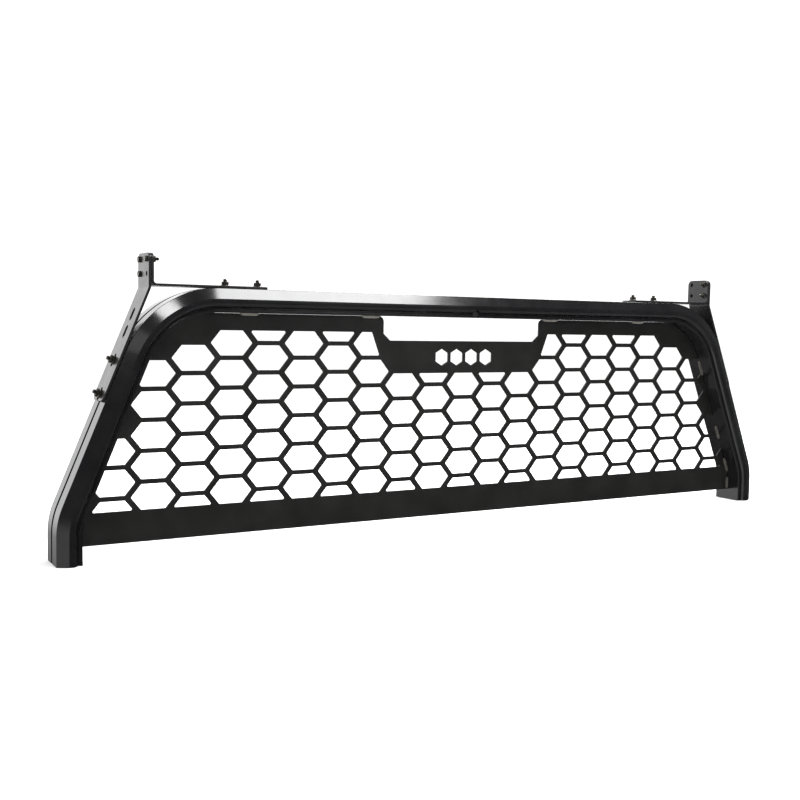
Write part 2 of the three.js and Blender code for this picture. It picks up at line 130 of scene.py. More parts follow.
def rounded(corners, step=math.radians(15)):
    """A closed outline of (x, y, radius) corners, with each corner turned into an arc."""
    outline = []
    for i, (x, y, radius) in enumerate(corners):
        here = Vector((x, y))
        before = (Vector(corners[i - 1][:2]) - here).normalized()
        after = (Vector(corners[(i + 1) % len(corners)][:2]) - here).normalized()
        if radius == 0:
            outline.append((x, y))
            continue
        half = before.angle(after) / 2
        centre = here + (before + after).normalized() * (radius / math.sin(half))
        tangent = radius / math.tan(half)
        first = here + before * tangent - centre
        last = here + after * tangent - centre
        start = math.atan2(first.y, first.x)
        turn = (math.atan2(last.y, last.x) - start + math.pi) % math.tau - math.pi
        steps = max(2, math.ceil(abs(turn) / step))
        outline.extend(arc(centre, radius, start, start + turn, steps))
    return outline


def clip(points, a, b, c):
    """The part of a convex polygon of (x, z) where a * x + b * z <= c."""
    kept = []
    for i, p in enumerate(points):
        q = points[(i + 1) % len(points)]
        dp = a * p[0] + b * p[1] - c
        dq = a * q[0] + b * q[1] - c
        if dp <= 0:
            kept.append(p)
        if dp * dq < 0:
            t = dp / (dp - dq)
            kept.append((p[0] + t * (q[0] - p[0]), p[1] + t * (q[1] - p[1])))
    return kept


def ring(x, y, radius, sides=28):
    """A circle as a closed outline."""
    return arc((x, y), radius, 0, math.tau * (1 - 1 / sides), sides - 1)


def oblong(x, y):
    """A slot's outline, its long way along x."""
    half = (OBLONG[0] - OBLONG[1]) / 2
    r = OBLONG[1] / 2
    right = arc((x + half, y), r, -math.pi / 2, math.pi / 2, 14)
    return right + arc((x - half, y), r, math.pi / 2, 1.5 * math.pi, 14)


def signed_area(points):
    """Positive for an anticlockwise outline."""
    pairs = zip(points, points[1:] + points[:1])
    return sum(p[0] * q[1] - q[0] * p[1] for p, q in pairs) / 2


def crossings(outline, cell):
    """Where an outline meets a cell: (leaves the cell, outline step, cell step, point)."""
    hits = []
    for i, p in enumerate(outline):
        q = outline[(i + 1) % len(outline)]
        for j, c in enumerate(cell):
            d = cell[(j + 1) % len(cell)]
            hit = intersect_line_line_2d(Vector(p), Vector(q), Vector(c), Vector(d))
            if hit:
                side = (d[0] - c[0]) * (q[1] - p[1]) - (d[1] - c[1]) * (q[0] - p[0])
                hits.append((side < 0, i, j, (hit.x, hit.y)))
    return hits


def bite(outline, cell, hits):
    """An anticlockwise outline with an anticlockwise cell cut out of its edge."""
    (_, i_in, j_in, p_in), (_, i_out, j_out, p_out) = sorted(hits)
    run = (i_in - i_out - 1) % len(outline) + 1
    kept = [outline[(i_out + 1 + i) % len(outline)] for i in range(run)]
    path = [p_in]
    j = j_in
    while j != j_out:
        path.append(cell[j])
        j = (j - 1) % len(cell)
    return kept + path + [p_out]


# ---- meshes and pieces -----------------------------------------------------------------------


def turn_outwards(mesh, weld=None):
    """Turns a mesh's faces outwards, after it merges vertices closer than weld."""
    shape = bmesh.new()
    shape.from_mesh(mesh)
    if weld:
        bmesh.ops.remove_doubles(shape, verts=shape.verts, dist=weld)
    bmesh.ops.recalc_face_normals(shape, faces=shape.faces)
    shape.to_mesh(mesh)
    shape.free()
    return mesh


def mesh_from(name, verts, faces):
    """A mesh with its faces turned outwards."""
    mesh = bpy.data.meshes.new(name)
    mesh.from_pydata([tuple(v) for v in verts], [], faces)
    return turn_outwards(mesh)


def plate_mesh(outline, holes, thickness, bevel):
    """A flat plate on z = 0 with softened rims: an outline with holes, thickened along z."""
    curve = bpy.data.curves.new("plate", "CURVE")
    curve.dimensions = "2D"
    curve.fill_mode = "BOTH"
    curve.extrude = thickness / 2 - bevel
    curve.bevel_depth = bevel
    curve.bevel_resolution = 1
    curve.offset = -bevel
    for loop, sign in [(outline, 1)] + [(hole, -1) for hole in holes]:
        points = loop if signed_area(loop) * sign > 0 else loop[::-1]
        spline = curve.splines.new("POLY")
        spline.points.add(len(points) - 1)
        for point, (x, y) in zip(spline.points, points):
            point.co = (x, y, 0, 1)
        spline.use_cyclic_u = True
    holder = bpy.data.objects.new("plate", curve)
    bpy.context.scene.collection.objects.link(holder)
    graph = bpy.context.evaluated_depsgraph_get()
    mesh = bpy.data.meshes.new_from_object(holder.evaluated_get(graph))
    bpy.data.objects.remove(holder)
    return turn_outwards(mesh, weld=0.01)


def map_points(mesh, where):
    """Moves each vertex of a mesh to where(vertex), and turns the faces outwards again."""
    for vertex in mesh.vertices:
        vertex.co = where(vertex.co)
    return turn_outwards(mesh)


def add_piece(name, mesh, material, body, replaces=(), sharp=32):
    """A finished piece, from a mesh in millimetres: shaded, placed and ridden."""
    mesh.transform(Matrix.Scale(MM, 4))
    mesh.materials.clear()
    mesh.materials.append(material)
    for face in mesh.polygons:
        face.use_smooth = True
    mesh.set_sharp_from_angle(angle=math.radians(sharp))
    mesh.name = name
    piece = bpy.data.objects.new(name, mesh)
    bpy.context.scene.collection.objects.link(piece)
    weighted = piece.modifiers.new("even_shading", "WEIGHTED_NORMAL")
    weighted.keep_sharp = True
    weighted.weight = 60
    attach(piece, body)
    if replaces:
        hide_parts(*replaces)
    return piece


def loft(rings, sides=48, closed=False):
    """A mesh through rings of (height, radius), each radius a number or a function of turn.

    An open loft is capped by a fan at each end. A closed one joins its last ring to its first.
    """
    verts = []
    for height, radius in rings:
        for k in range(sides):
            turn = math.tau * k / sides
            r = radius(turn, height) if callable(radius) else radius
            verts.append((r * math.cos(turn), r * math.sin(turn), height))
    faces = []
    count = len(rings)
    for i in range(count if closed else count - 1):
        low = i * sides
        high = ((i + 1) % count) * sides
        for k in range(sides):
            n = (k + 1) % sides
            faces.append((low + k, low + n, high + n, high + k))
    if not closed:
        for base, height in ((0, rings[0][0]), ((count - 1) * sides, rings[-1][0])):
            verts.append((0, 0, height))
            tip = len(verts) - 1
            faces.extend((tip, base + k, base + (k + 1) % sides) for k in range(sides))
    return mesh_from("loft", verts, faces)


# ---- materials -------------------------------------------------------------------------------


def coat(name, colours, roughness, grain, relief, speckle=0.0):
    """Powder coat: a near-black colour with slight mottling, and an orange-peel relief.

    grain is the size of the relief in millimetres, and relief its height. speckle is the size
    of the mottling, 60 mm unless given.
    """
    material = bpy.data.materials.new(name)
    material.use_nodes = True
    nodes = material.node_tree.nodes
    links = material.node_tree.links
    shader = nodes["Principled BSDF"]
    shader.inputs["IOR"].default_value = 1.5
    place = nodes.new("ShaderNodeTexCoord")

    def noise(size, detail):
        texture = nodes.new("ShaderNodeTexNoise")
        texture.inputs["Scale"].default_value = 1 / (size * MM)
        texture.inputs["Detail"].default_value = detail
        texture.inputs["Roughness"].default_value = 0.5
        links.new(place.outputs["Object"], texture.inputs["Vector"])
        return texture.outputs["Fac"]

    mottle = nodes.new("ShaderNodeValToRGB")
    for element, position, colour in zip(mottle.color_ramp.elements, (0.35, 0.65), colours):
        element.position = position
        element.color = (*colour, 1)
    links.new(noise(speckle or 60, 3), mottle.inputs["Fac"])
    links.new(mottle.outputs["Color"], shader.inputs["Base Color"])

    sheen = nodes.new("ShaderNodeMapRange")
    sheen.inputs["From Min"].default_value = 0.3
    sheen.inputs["From Max"].default_value = 0.7
    sheen.inputs["To Min"].default_value = roughness[0]
    sheen.inputs["To Max"].default_value = roughness[1]
    links.new(noise(35, 4), sheen.inputs["Value"])
    links.new(sheen.outputs["Result"], shader.inputs["Roughness"])

    bump = nodes.new("ShaderNodeBump")
    bump.inputs["Distance"].default_value = relief * MM
    bump.inputs["Strength"].default_value = 1.0
    links.new(noise(grain, 2), bump.inputs["Height"])
    links.new(bump.outputs["Normal"], shader.inputs["Normal"])
    return material


def metal(name, dark, light, roughness, grain, metallic):
    """Plated or welded metal, mottled between two colours."""
    material = coat(name, (dark, light), roughness, grain, relief=0.02, speckle=2.5)
    shader = material.node_tree.nodes["Principled BSDF"]
    shader.inputs["Metallic"].default_value = metallic
    return material


GLOSS = coat(
    "gloss_black_coat",
    ((0.0045, 0.0045, 0.005), (0.0065, 0.0065, 0.007)),
    roughness=(0.12, 0.16), grain=8, relief=0.0012,
)
SATIN = coat(
    "satin_black_coat",
    ((0.0055, 0.0055, 0.005), (0.0085, 0.0085, 0.008)),
    roughness=(0.36, 0.44), grain=1.6, relief=0.006,
)
TEXTURED = coat(
    "textured_black_coat",
    ((0.008, 0.008, 0.008), (0.013, 0.013, 0.013)),
    roughness=(0.22, 0.30), grain=0.9, relief=0.008,
)
RUBBER = coat(
    "black_rubber",
    ((0.010, 0.010, 0.010), (0.016, 0.016, 0.016)),
    roughness=(0.55, 0.7), grain=0.9, relief=0.015,
)
ZINC = metal(
    "black_zinc",
    (0.03, 0.028, 0.024), (0.12, 0.112, 0.095),
    roughness=(0.24, 0.40), grain=1.2, metallic=0.9,
)
WELD = metal(
    "weld_bead",
    (0.10, 0.095, 0.085), (0.21, 0.20, 0.18),
    roughness=(0.30, 0.50), grain=0.9, metallic=0.3,
)
# A darker copy of the weld bead's colour, for the beads on the legs and feet: painted shade.
SHADED_WELD = metal(
    "weld_bead_painted_shade",
    (0.03, 0.028, 0.025), (0.09, 0.083, 0.07),
    roughness=(0.25, 0.45), grain=0.9, metallic=0.3,
)

# ---- the frame extrusion ---------------------------------------------------------------------

TAN_LEAN = math.tan(LEAN)
CORNER_X = FOOT_X - TAN_LEAN * (RAIL_TOP - FOOT_BEND_Z)
FOOT_REACH = FOOT_BEND_RADIUS * math.tan(LEAN / 2)
CORNER_REACH = CORNER_RADIUS * math.tan((math.pi / 2 - LEAN) / 2)
HOLE_X = 1
HOLE_Z = RAIL_TOP - 36
HOLE_RIM = 7.5
HOLE_DEPTHS = (-HALF_DEPTH - 2, -24)
HOLE_LOCAL = 14  # the sweep has stations this far either side of the hole


def arch_stations(foot_steps=14, corner_steps=40):
    """(x, z, heading) along the outer face, left foot to right foot. Heading 0 points up."""
    left = [(-FOOT_X, 0, 0)]
    foot = (-FOOT_X + FOOT_BEND_RADIUS, FOOT_BEND_Z - FOOT_REACH)
    corner = (-CORNER_X + CORNER_REACH, RAIL_TOP - CORNER_RADIUS)
    bends = [
        (foot, FOOT_BEND_RADIUS, 0, LEAN, foot_steps),
        (corner, CORNER_RADIUS, LEAN, math.pi / 2, corner_steps),
    ]
    for (cx, cz), radius, start, end, steps in bends:
        for i in range(steps + 1):
            turn = start + (end - start) * i / steps
            left.append((cx - radius * math.cos(turn), cz + radius * math.sin(turn), turn))
    right = [(-x, z, math.pi - heading) for x, z, heading in left]
    middle = [(HOLE_X + dx, RAIL_TOP, math.pi / 2) for dx in (-HOLE_LOCAL, HOLE_LOCAL)]
    return left + middle + right[::-1]


def section_loops():
    """The section's outline and its cavity, in corners of (in from the outer face, forward)."""
    mid = -SLOT_Y
    mouth = SLOT_MOUTH / 2
    channel = SLOT_CHANNEL / 2
    lip = HALF_DEPTH - ROLL
    outline = [
        (0, -HALF_DEPTH, 1.5),
        (0, mid - mouth, 0.6),
        (SLOT_LIP, mid - mouth, 0.3),
        (SLOT_LIP, mid - channel, 0),
        (SLOT_DEPTH, mid - channel, 0.8),
        (SLOT_DEPTH, mid + channel, 0.8),
        (SLOT_LIP, mid + channel, 0),
        (SLOT_LIP, mid + mouth, 0.3),
        (0, mid + mouth, 0.6),
        (0, HALF_DEPTH - CHAMFER_DEPTH, 1.2),
        (CHAMFER_WIDTH, HALF_DEPTH, 1.5),
        (ROLL_START + ROLL, HALF_DEPTH, ROLL),
        (ROLL_START + ROLL, lip, 0),
        (RIDGE_START, lip, 0),
        (RIDGE_START + 0.4, lip + RIDGE, 1.0),
        (RIDGE_START + 1.8, lip + RIDGE, 0.3),
        (RIDGE_START + 2, lip, 0),
        (BEAD_START, lip, 0.2),
        (BEAD_START + 0.5, lip + BEAD, 1.2),
        (WIDTH, lip + BEAD, 1.5),
        (WIDTH, -HALF_DEPTH, 1.5),
    ]
    inner = WIDTH - WALL
    behind = SLOT_DEPTH + WALL
    cavity = [
        (inner, -HALF_DEPTH + WALL, 1),
        (WALL, -HALF_DEPTH + WALL, 1),
        (WALL, mid - channel - WALL, 1),
        (behind, mid - channel - WALL, 1),
        (behind, mid + channel + WALL, 1),
        (WALL, mid + channel + WALL, 1),
        (WALL, HALF_DEPTH - CHAMFER_DEPTH - WALL / 2, 1),
        (CHAMFER_WIDTH + WALL / 4, HALF_DEPTH - WALL, 1),
        (ROLL_START + ROLL - WALL, HALF_DEPTH - WALL, ROLL - WALL - 0.5),
        (ROLL_START + ROLL - WALL, lip - WALL, 0.5),
        (inner, lip - WALL, 1),
    ]
    return rounded(outline, math.radians(12)), rounded(cavity, math.radians(30))


def extrusion_mesh():
    """The section swept along the arch, hollow and open at both feet."""
    loops = section_loops()
    stations = arch_stations()
    verts = []
    faces = []
    starts = []
    for loop in loops:
        base = len(verts)
        starts.append(base)
        size = len(loop)
        for x, z, heading in stations:
            for inward, forward in loop:
                along = (x + inward * math.cos(heading), -forward, z - inward * math.sin(heading))
                verts.append(along)
        for s in range(len(stations) - 1):
            for k in range(size):
                n = (k + 1) % size
                a = base + s * size
                faces.append((a + k, a + n, a + size + n, a + size + k))
    flat = [[Vector((a, b, 0)) for a, b in loop] for loop in loops]
    sizes = [len(loop) for loop in loops]
    last = len(stations) - 1
    for end in (0, last):
        index = []
        for start, size in zip(starts, sizes):
            index.extend(range(start + end * size, start + (end + 1) * size))
        faces.extend(tuple(index[k] for k in tri) for tri in tessellate_polygon(flat))
    return mesh_from("extrusion", verts, faces)


def drill(mesh, x, z, radius, front, back):
    """Cuts a round hole along Y through a mesh, between two depths."""
    holder = bpy.data.objects.new("drilled", mesh)
    tool_mesh = loft([(-front, radius), (-back, radius)], 40)
    tool_mesh.transform(Matrix.Translation((x, 0, z)) @ Matrix.Rotation(math.pi / 2, 4, "X"))
    tool = bpy.data.objects.new("drill", tool_mesh)
    for item in (holder, tool):
        bpy.context.scene.collection.objects.link(item)
    cut = holder.modifiers.new("cut", "BOOLEAN")
    cut.operation = "DIFFERENCE"
    cut.solver = "EXACT"
    cut.object = tool
    graph = bpy.context.evaluated_depsgraph_get()
    made = bpy.data.meshes.new_from_object(holder.evaluated_get(graph))
    bpy.data.objects.remove(holder)
    bpy.data.objects.remove(tool)
    return made


arch = drill(extrusion_mesh(), HOLE_X, HOLE_Z, HOLE_RIM, *HOLE_DEPTHS)
add_piece(
    "frame_extrusion_coated", arch, GLOSS, RACK,
    ["frame_extrusion"], sharp=20,
)

# ---- the honeycomb screen --------------------------------------------------------------------


def inner_line(inset):
    """(x, z) along the arch, a distance in from its outer face, left to right."""
    return [
        (x + inset * math.cos(heading), z - inset * math.sin(heading))
        for x, z, heading in arch_stations(8, 24)
    ]


def cell_outline(x, z):
    """A cell's six corners, anticlockwise."""
    w = CELL["half_width"]
    f = CELL["half_flat"]
    h = CELL["half_height"]
    lower = [(x - w, z), (x - f, z - h), (x + f, z - h)]
    return lower + [(x + w, z), (x + f, z + h), (x - f, z + h)]


def cell_rows(column):
    """Half rows, counted down from CELL_Z0, in which a column has its cells."""
    side = abs(column)
    rows = {10: (0, 2, 4), 9: (-5, -3, -1, 1, 3), 8: (-6, -4, -2, 0, 2, 4), 1: (-5, -3, -1, 1, 3)}
    if side in rows:
        return rows[side]
    if side in (0, 2):
        return (-4, -2, 0, 2, 4)
    return (-7, -5, -3, -1, 1, 3) if side % 2 else (-8, -6, -4, -2, 0, 2, 4)


def cell_opening(column, row):
    """One cell's opening, cut off by the window's edges and by the centre panel."""
    side = abs(column)
    points = cell_outline(side * PITCH_X, CELL_Z0 - row * PITCH_Z / 2)
    points = clip(points, 0, 1, WINDOW_TOP)
    points = clip(points, 0, -1, -WINDOW_BOTTOM)
    if side <= 2:
        points = clip(points, 0, 1, PANEL_BOTTOM)
    if (side, row) == (3, -7):
        run, rise = PANEL_SLOPE
        points = clip(points, -rise, run, run * WINDOW_TOP - rise * PANEL_HALF)
    if column < 0:
        points = [(-x, z) for x, z in points][::-1]
    return rounded([(x, z, CELL["radius"]) for x, z in points], math.radians(20))


def screen_outline():
    """The screen's outer edge, anticlockwise, with the notch for the cab's brake light."""
    line = [p for p in inner_line(WIDTH + GAP) if p[1] > SCREEN_BOTTOM + 1]
    left = [p for p in line if p[0] < -PANEL_HALF]
    right = [p for p in line if p[0] > PANEL_HALF]
    notch = [(-x, z) for x, z in NOTCH] + NOTCH[::-1]
    outline = [(left[0][0], SCREEN_BOTTOM)] + left + notch + right
    outline.append((right[-1][0], SCREEN_BOTTOM))
    return outline[::-1]


def on_screen(point):
    """From the plate's own plane, x and z with its front towards the viewer, to the rack."""
    return Vector((point.x, (SCREEN_BACK + SCREEN_FRONT) / 2 - point.z, point.y))


edge = screen_outline()
openings = []
for column in range(-COLUMNS, COLUMNS + 1):
    for row in cell_rows(column):
        opening = cell_opening(column, row)
        hits = crossings(edge, opening)
        if hits:
            edge = bite(edge, opening, hits)
        else:
            openings.append(opening)
for i in range(MARKS["count"]):
    x = (i - (MARKS["count"] - 1) / 2) * MARKS["pitch"]
    first = math.pi / 2
    corners = arc((x, MARKS["z"]), MARKS["radius"], first, first + math.tau * 5 / 6, 5)
    openings.append(rounded([(a, b, MARKS["corner"]) for a, b in corners]))
plate = plate_mesh(edge, openings, SCREEN_BACK - SCREEN_FRONT, PLATE_BEVEL)
add_piece(
    "honeycomb_screen_coated", map_points(plate, on_screen), SATIN, RACK,
    ["honeycomb_screen"],
)

# ---- the weld beads --------------------------------------------------------------------------

WELD_LEG = 5.4  # how far a bead reaches up each face
RIPPLE = 2.6  # between two of its ripples
RIPPLE_LAG = 1.6  # by which a ripple's middle trails its ends


def weld_mesh(start, end, inward):
    """A fillet bead between the screen's front and the extrusion's inner face.

    start and end are (x, z) on the corner line, and inward points off the extrusion's face.
    """
    path = Vector((end[0] - start[0], 0, end[1] - start[1]))
    length = path.length
    path.normalize()
    steps = max(24, round(length / 0.55))
    arc_points = 12
    verts = []
    for s in range(steps + 1):
        t = s / steps
        taper = math.sqrt(max(0.02, 1 - abs(2 * t - 1) ** 6))
        at = Vector((start[0], SCREEN_FRONT, start[1])) + path * (t * length)
        for k in range(arc_points + 1):
            turn = math.pi / 2 * k / arc_points
            lag = RIPPLE_LAG * math.sin(turn * 2)
            wave = abs(math.sin(math.pi * (t * length + lag) / RIPPLE))
            reach = WELD_LEG * taper * (0.78 + 0.16 * wave)
            bulge = reach * (0.80 + 0.20 * abs(math.cos(2 * turn)))
            front = Vector((0, -bulge * math.sin(turn), 0))
            verts.append(at + inward * (bulge * math.cos(turn)) + front)
        verts.append(at)
    size = arc_points + 2
    faces = []
    for s in range(steps):
        for k in range(size):
            n = (k + 1) % size
            a = s * size
            faces.append((a + k, a + n, a + size + n, a + size + k))
    faces.append(tuple(range(size)))
    faces.append(tuple(steps * size + k for k in range(size)))
    return mesh_from("weld", verts, faces)


def leg_point(z, inset, side):
    """(x, z) on a line in from the straight leg's outer face, for a side of -1 or 1."""
    return (side * (FOOT_X - TAN_LEAN * (z - FOOT_BEND_Z) - inset / math.cos(LEAN)), z)


# Where each bead starts and ends: along X on the rail, along Z on the leg.
RAIL_WELDS = {"inner": (211, 254), "outer": (479, 518)}
LEG_WELDS = {"upper": (319, 356), "middle": (156, 191), "lower": (70, 106)}
FOOT_WELD = (SCREEN_BOTTOM + 2, FOOT_BEND_Z - FOOT_REACH + 4)
for side, side_name in ((-1, "left"), (1, "right")):
    for where, (near, far) in RAIL_WELDS.items():
        z = RAIL_TOP - WIDTH
        bead = weld_mesh((side * near, z), (side * far, z), Vector((0, 0, -1)))
        add_piece(f"weld_rail_{where}_{side_name}", bead, WELD, RACK)
    # The leg and foot beads take the darker weld colour, which is painted shade.
    for where, (low, high) in LEG_WELDS.items():
        inward = Vector((-side * math.cos(LEAN), 0, -math.sin(LEAN)))
        bead = weld_mesh(leg_point(low, WIDTH, side), leg_point(high, WIDTH, side), inward)
        add_piece(f"weld_leg_{where}_{side_name}", bead, SHADED_WELD, RACK)
    low, high = [(side * (FOOT_X - WIDTH), z) for z in FOOT_WELD]
    bead = weld_mesh(low, high, Vector((-side, 0, 0)))
    add_piece(f"weld_foot_{side_name}", bead, SHADED_WELD, RACK)

# ---- the load stops' strips ------------------------------------------------------------------

LEG_FACE_X = FOOT_X - TAN_LEAN * (TAB_BEND_Z - FOOT_BEND_Z)
TAB_INNER_X = LEG_FACE_X + GAP / math.cos(LEAN)
TAB_OUTER_X = TAB_INNER_X + STRIP_THICK


def bent_strip(arm_length, tab_length, holes, corner, arm, arm_normal, tab_normal, radius):
    """A flat strip with rounded ends and holes, bent at its corner line.

    In the flat, x runs from -arm_length through the corner at 0 to tab_length, and y is the
    rack's Y. corner, arm and the normals are (x, z), for the face that the strip lies on.
    """
    half = STRIP_WIDTH / 2
    outline = rounded([
        (-arm_length, STRIP_Y - half, END_RADIUS),
        (tab_length, STRIP_Y - half, TAB_CORNER),
        (tab_length, STRIP_Y + half, TAB_CORNER),
        (-arm_length, STRIP_Y + half, END_RADIUS),
    ], math.radians(7))
    mesh = plate_mesh(outline, holes, STRIP_THICK, STRIP_BEVEL)
    cosine = arm_normal[0] * tab_normal[0] + arm_normal[1] * tab_normal[1]
    turn = math.acos(max(-1, min(1, cosine)))
    outer = radius + STRIP_THICK
    reach = outer * math.tan(turn / 2)
    bends = max(6, round(math.degrees(turn) / 5))
    shape = bmesh.new()
    shape.from_mesh(mesh)
    for i in range(bends + 1):
        at = -reach + 2 * reach * i / bends
        everything = shape.verts[:] + shape.edges[:] + shape.faces[:]
        bmesh.ops.bisect_plane(
            shape, geom=everything, plane_co=(at, 0, 0), plane_no=(1, 0, 0), dist=1e-4
        )
    shape.to_mesh(mesh)
    shape.free()
    corner, arm = Vector(corner), Vector(arm)
    arm_normal, tab_normal = Vector(arm_normal), Vector(tab_normal)
    centre = corner + arm * reach + arm_normal * outer

    def where(point):
        height = point.z + STRIP_THICK / 2
        if point.x <= -reach:
            flat = corner - arm * point.x + arm_normal * height
        elif point.x >= reach:
            flat = corner + Vector((0, 1)) * point.x + tab_normal * height
        else:
            angle = (point.x + reach) / (2 * reach) * turn
            spoke = -arm_normal * math.cos(angle) - arm * math.sin(angle)
            flat = centre + spoke * (outer - height)
        return Vector((flat.x, point.y, flat.y))

    return map_points(mesh, where)


def mirrored(mesh):
    """The mesh on the other side of the rack."""
    return map_points(mesh, lambda p: Vector((-p.x, p.y, p.z)))


def tab_holes(corner_z):
    """The tab's four bolt holes, along the flat strip."""
    columns = (STRIP_Y - TAB_HOLE_OFFSET, STRIP_Y + TAB_HOLE_OFFSET)
    return [ring(z - corner_z, y, HOLE_RADIUS) for z in TAB_ROWS for y in columns]


def side_strip():
    """The right-hand side strip, down the leg and up into the outer tab."""
    slots = [oblong(-distance, SLOT_Y) for distance in SIDE_EMPTY + SIDE_BOLTS]
    return bent_strip(
        SIDE_LENGTH,
        TAB_TOP - TAB_BEND_Z,
        slots + tab_holes(TAB_BEND_Z),
        (TAB_INNER_X, TAB_BEND_Z),
        (math.sin(LEAN), -math.cos(LEAN)),
        (math.cos(LEAN), math.sin(LEAN)),
        (1, 0),
        SIDE_BEND_RADIUS,
    )


def top_bracket():
    """The right-hand top bracket, along the rail and up into the inner tab."""
    outer_x = TAB_INNER_X - GAP
    low_z = RAIL_TOP + GAP
    holes = [ring(x - outer_x, SLOT_Y, HOLE_RADIUS) for x in ARM_BOLTS]
    return bent_strip(
        outer_x - ARM_END,
        TAB_TOP - low_z,
        holes + tab_holes(low_z),
        (outer_x, low_z),
        (-1, 0),
        (0, 1),
        (-1, 0),
        ARM_BEND_RADIUS,
    )


for side_name in ("left", "right"):
    flip = mirrored if side_name == "left" else (lambda mesh: mesh)
    add_piece(
        f"side_strip_{side_name}_coated", flip(side_strip()), TEXTURED, RACK,
        [f"side_strip_{side_name}"],
    )
    add_piece(
        f"top_bracket_{side_name}_coated", flip(top_bracket()), TEXTURED, f"load_stop_{side_name}",
        [f"top_bracket_{side_name}"],
    )

# ---- fasteners -------------------------------------------------------------------------------

M8 = {
    "radius": 3.95, "pitch": 1.25, "thread": 0.62, "stick": 5.2,
    "flats": 13, "height": 8, "bore": 4.15, "flange": 8.7,
}
M6 = {
    "radius": 2.95, "pitch": 1.0, "thread": 0.5, "stick": 6.3,
    "flats": 10, "height": 6, "bore": 3.15, "flange": 6.6, "head": 4, "washer": 5.5,
}


def hexagon(flats, cap=None):
    """The radius of a hexagon by turn, no more than the cap where there is one."""
    def radius(turn, height):
        wedge = (turn + math.pi / 6) % (math.pi / 3) - math.pi / 6
        flat = flats / 2 / math.cos(wedge)
        return min(flat, cap) if cap else flat
    return radius


def square(size, cap):
    """The radius of a square by turn, no more than the cap."""
    def radius(turn, height):
        return min(size / 2 / max(abs(math.cos(turn)), abs(math.sin(turn))), cap)
    return radius


def threaded(size, low, high):
    """Rings of a threaded shank with a chamfered tip, from its root up."""
    def radius(turn, height):
        phase = (height / size["pitch"] - turn / math.tau) % 1
        return size["radius"] - size["thread"] * abs(2 * phase - 1)

    steps = round((high - low - 1) / (size["pitch"] / 8))
    rings = [(low + (high - low - 1) * i / steps, radius) for i in range(steps + 1)]
    core = size["radius"] - size["thread"]
    return rings + [(high - 0.9, core + 0.1), (high, core - 0.6)]


def t_bolt_mesh():
    """A T-bolt along Z, its head under the slot's lips and z = 0 at the extrusion's face."""
    top = -SLOT_LIP - GAP
    tip = GAP + STRIP_THICK + GAP + M8["height"] + M8["stick"]
    head = [
        (top - 5, square(14.2, 9.2)),
        (top - 4.6, square(15, 9.9)),
        (top - 0.5, square(15, 9.9)),
        (top, square(14.2, 9.2)),
        (top, M8["radius"] + 0.02),
        (top + 1.2, M8["radius"]),
    ]
    return loft(head + threaded(M8, top + 1.4, tip))


def flange_nut_mesh(size, base):
    """A flange nut along Z with chamfered corners, standing on z = base."""
    top = base + size["height"]
    core = size["flats"] / 2
    bore = size["bore"]
    flange = size["flange"]
    lift = size["height"] / 8
    rings = [
        (base, bore + 0.5),
        (base, flange - 0.5),
        (base + 0.3 * lift, flange - 0.1),
        (base + lift, flange - 0.1),
        (base + 1.4 * lift, flange - 0.4),
        (base + 2.3 * lift, hexagon(size["flats"], core + 0.15 * core)),
        (base + 2.7 * lift, hexagon(size["flats"])),
        (top - 1.2, hexagon(size["flats"])),
        (top - 0.9, hexagon(size["flats"], core + 0.13 * core)),
        (top - 0.5, hexagon(size["flats"], core + 0.07 * core)),
        (top - 0.1, hexagon(size["flats"], core + 0.05)),
        (top, core - 0.35),
        (top, bore + 0.6),
        (top - 0.6, bore),
        (base + 0.6, bore),
    ]
    return loft(rings, closed=True)


def tab_bolt_mesh():
    """A hex bolt through both tabs: z = 0 is the strip's outer face and the shank runs down."""
    flats = M6["flats"]
    core = flats / 2
    top = GAP + M6["head"]
    head = [
        (top, core - 1.2),
        (top, core - 0.4),
        (top - 0.1, hexagon(flats, core)),
        (top - 0.4, hexagon(flats, core * 1.07)),
        (top - 0.7, hexagon(flats, core * 1.13)),
        (top - 0.9, hexagon(flats)),
        (1.5, hexagon(flats)),
        (1.2, hexagon(flats, core * 1.14)),
        (1.2, M6["washer"] - 0.2),
        (1.0, M6["washer"]),
        (GAP, M6["washer"]),
        (GAP, M6["radius"]),
    ]
    grip = 2 * STRIP_THICK + GAP
    tip = grip + GAP + M6["height"] + M6["stick"]
    shank = [(-height, radius) for height, radius in threaded(M6, 0.3, tip)]
    return loft(head + shank)


def on_leg(down):
    """Places a fastener in the leg's slot, a distance down from the strip's bend."""
    along = Vector((math.sin(LEAN), 0, -math.cos(LEAN)))
    out = Vector((math.cos(LEAN), 0, math.sin(LEAN)))
    place = Matrix((along, out.cross(along), out)).transposed().to_4x4()
    place.translation = Vector((LEG_FACE_X, SLOT_Y, TAB_BEND_Z)) + along * down
    return place


def on_rail(x):
    """Places a fastener in the rail's slot."""
    return Matrix.Translation((x, SLOT_Y, RAIL_TOP))


def on_tab(offset, z):
    """Places a fastener through the tabs, its z outward from the strip's outer face."""
    place = Matrix.Rotation(math.pi / 2, 4, "Y")
    place.translation = Vector((TAB_OUTER_X, STRIP_Y + offset, z))
    return place


def add_fastener(name, side_name, mesh, place, twist, body):
    """A fastener at its right-hand place or the left-hand one, turned about its own axis."""
    flip = Matrix.Scale(-1, 4, (1, 0, 0))
    placed = place if side_name == "right" else flip @ place @ flip
    mesh.transform(placed @ Matrix.Rotation(math.radians(twist), 4, "Z"))
    node = f"{name}_{side_name}"
    add_piece(f"{node}_plated", mesh, ZINC, body, [node], sharp=28)


